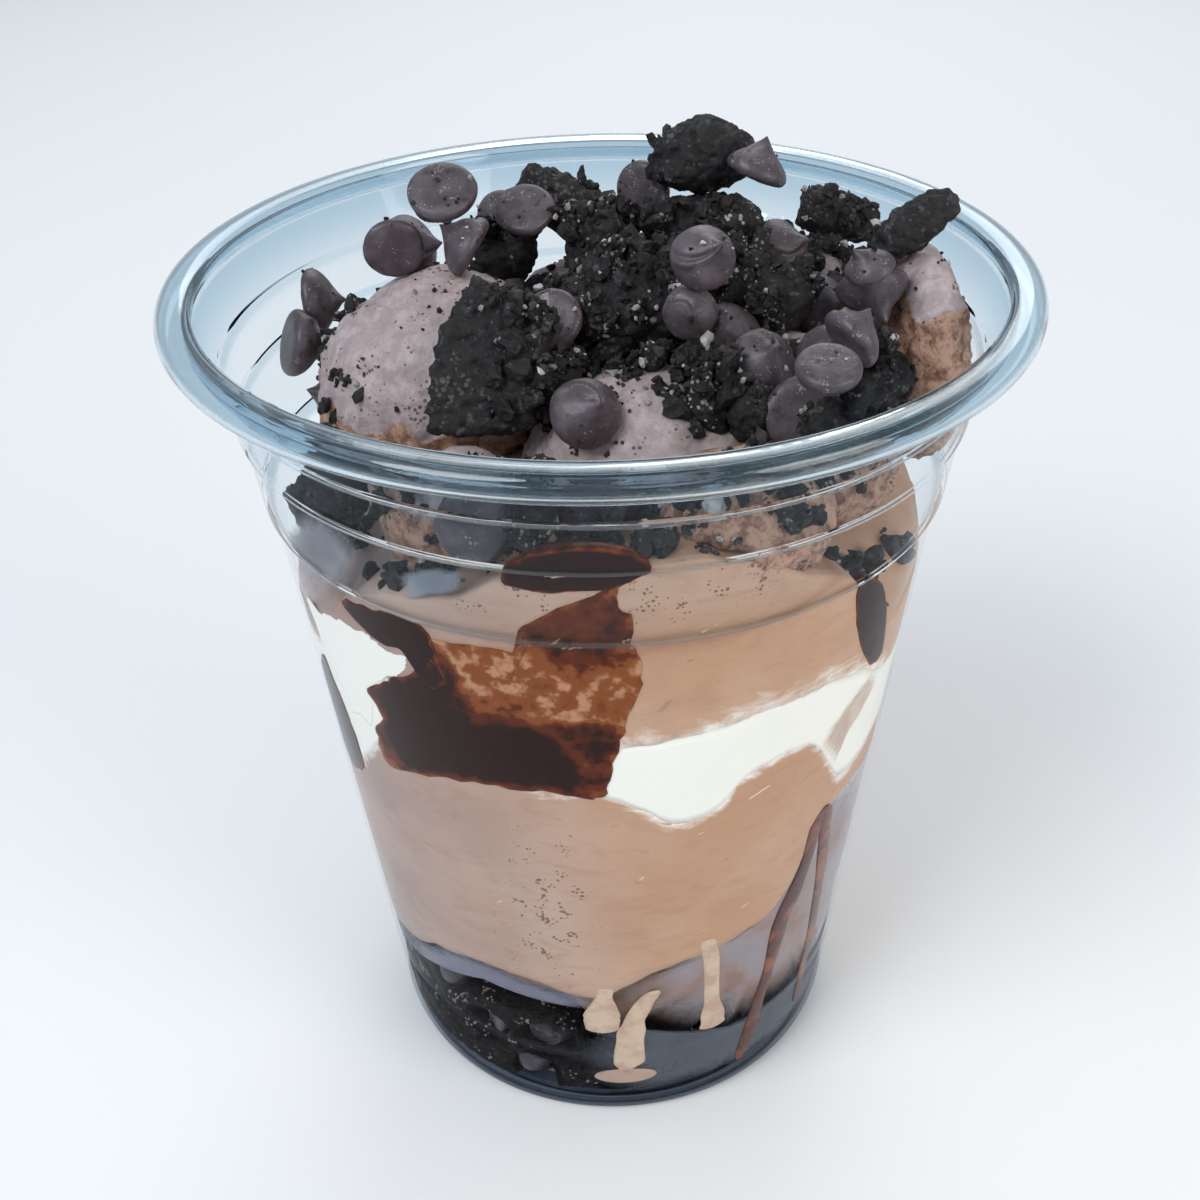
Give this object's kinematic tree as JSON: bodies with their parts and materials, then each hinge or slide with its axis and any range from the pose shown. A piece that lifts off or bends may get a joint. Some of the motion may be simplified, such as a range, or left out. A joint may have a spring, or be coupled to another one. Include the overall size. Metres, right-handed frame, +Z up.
{
  "type": "ice cream sundae cup",
  "caption": "Clear plastic cup of layered chocolate ice cream, cream and fudge, topped with scoops, broken chocolate cookies and chocolate drops.",
  "frame": {"origin": "centre of the cup's foot, on the surface it stands on", "axes": "+Z up along the cup's axis, -Y towards the sundae's front as pictured, +X to its right"},
  "size_m": [0.098, 0.098, 0.1195],
  "materials": {
    "cup_plastic": "clear, polished",
    "ice_cream": "smooth, slightly wet",
    "cream": "smooth",
    "fudge": "glossy",
    "chocolate_drop": "satin, dusty",
    "chocolate_cookie": "rough, crumbly"
  },
  "bodies": {
    "root": {"cup": "cup_plastic", "cookie_heap": "chocolate_cookie", "ice_cream_lower": "ice_cream", "cream_layer": "cream", "ice_cream_upper": "ice_cream", "fudge_pocket": "fudge", "fudge_pool": "fudge", "fudge_blob": "fudge", "fudge_strip": "fudge", "scoop_left": "ice_cream", "scoop_mound": "ice_cream", "scoop_slab": "ice_cream", "scoop_front_right": "ice_cream", "scoop_front_left": "ice_cream", "drop_side_left": "chocolate_drop", "cookie_side_left": "chocolate_cookie", "drop_side_middle": "chocolate_drop", "cookie_side_right": "chocolate_cookie", "drop_left_low": "chocolate_drop", "drop_left_dark": "chocolate_drop", "drop_left_upright": "chocolate_drop", "drop_front_round": "chocolate_drop", "cookie_front_big": "chocolate_cookie", "drop_front": "chocolate_drop", "drop_half": "chocolate_drop", "drop_front_dark": "chocolate_drop", "drop_right_flat": "chocolate_drop", "drop_right_dome": "chocolate_drop", "drop_front_swirl": "chocolate_drop", "cookie_stick": "chocolate_cookie", "drop_right_back": "chocolate_drop", "drop_middle_dark": "chocolate_drop", "drop_right_fold": "chocolate_drop", "drop_right_swirl": "chocolate_drop", "drop_middle_side": "chocolate_drop", "drop_middle_swirl": "chocolate_drop", "drop_right_ridge": "chocolate_drop", "drop_right_small": "chocolate_drop", "cookie_flat": "chocolate_cookie", "drop_back_curl": "chocolate_drop", "drop_back_ball": "chocolate_drop", "drop_back_edge": "chocolate_drop", "cookie_upright": "chocolate_cookie", "drop_back_flat": "chocolate_drop", "drop_back_disc": "chocolate_drop", "drop_back_small": "chocolate_drop", "cookie_ridged_right": "chocolate_cookie", "cookie_far_right": "chocolate_cookie", "cookie_back_shard": "chocolate_cookie", "drop_back_round": "chocolate_drop", "cookie_top": "chocolate_cookie", "drop_top": "chocolate_drop", "cookie_side_front": "chocolate_cookie", "cookie_front_filling": "chocolate_cookie", "cookie_front_crumbs": "chocolate_cookie", "cookie_front_dark": "chocolate_cookie", "cookie_right_low": "chocolate_cookie", "cookie_crumbled": "chocolate_cookie", "cookie_filling": "chocolate_cookie", "cookie_middle": "chocolate_cookie"}
  },
  "joints": []
}
